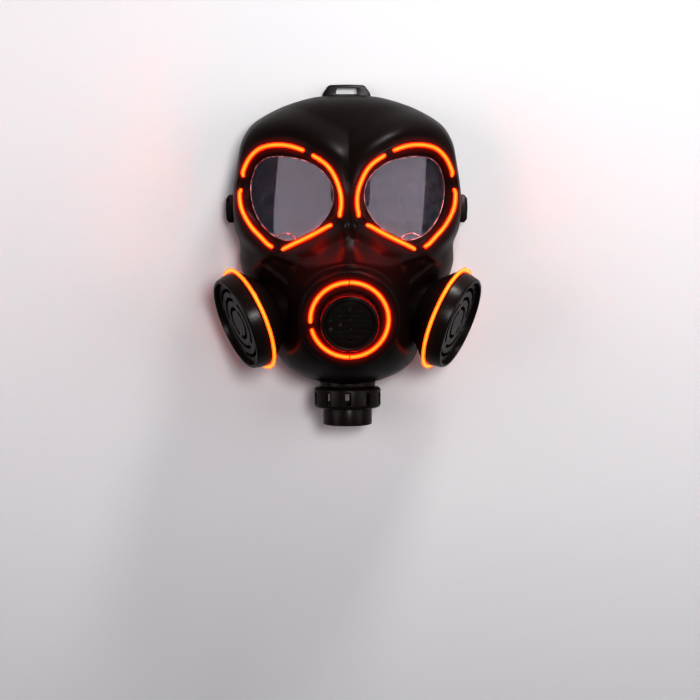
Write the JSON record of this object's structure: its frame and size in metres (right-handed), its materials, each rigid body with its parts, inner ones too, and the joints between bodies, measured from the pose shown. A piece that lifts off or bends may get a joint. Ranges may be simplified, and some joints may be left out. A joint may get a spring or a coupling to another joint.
{
  "type": "gas mask style costume mask",
  "caption": "Moulded full-face costume mask in gas mask style, with clear lenses, side canisters, a mouth grille, a chin outlet and glowing wire trim.",
  "frame": {"origin": "middle of the space that the mask takes up on the flat surface it lies on, at the height of its back rim", "axes": "X across the face with positive on the viewer's right, Y up the face to the crown, Z out of the face, with the mask lying on its back rim"},
  "size_m": [0.209, 0.2688, 0.1279],
  "materials": {
    "moulded_black": "satin black moulded PVC",
    "gloss_black": "black hard plastic with a soft sheen",
    "clear_lens": "clear thin plastic sheet",
    "glow_wire": "orange glowing wire in a clear jacket"
  },
  "bodies": {
    "root": {"mask_shell": "moulded_black", "crown_strap_loop": "gloss_black", "strap_clip_left": "gloss_black", "strap_clip_right": "gloss_black", "lens_left": "clear_lens", "lens_right": "clear_lens", "eye_wire_left_upper_outer": "glow_wire", "eye_wire_left_upper_inner": "glow_wire", "eye_wire_left_lower_inner": "glow_wire", "eye_wire_left_lower_outer": "glow_wire", "eye_wire_right_upper_outer": "glow_wire", "eye_wire_right_upper_inner": "glow_wire", "eye_wire_right_lower_inner": "glow_wire", "eye_wire_right_lower_outer": "glow_wire", "speech_boss": "moulded_black", "speech_grille": "gloss_black", "mouth_wire": "glow_wire", "canister_body_left": "gloss_black", "canister_body_right": "gloss_black", "canister_cap_left": "gloss_black", "canister_cap_right": "gloss_black", "canister_vent_left": "gloss_black", "canister_vent_right": "gloss_black", "canister_wire_left": "glow_wire", "canister_wire_right": "glow_wire", "outlet_neck": "gloss_black", "outlet_collar": "gloss_black", "outlet_tube": "gloss_black"}
  },
  "joints": []
}
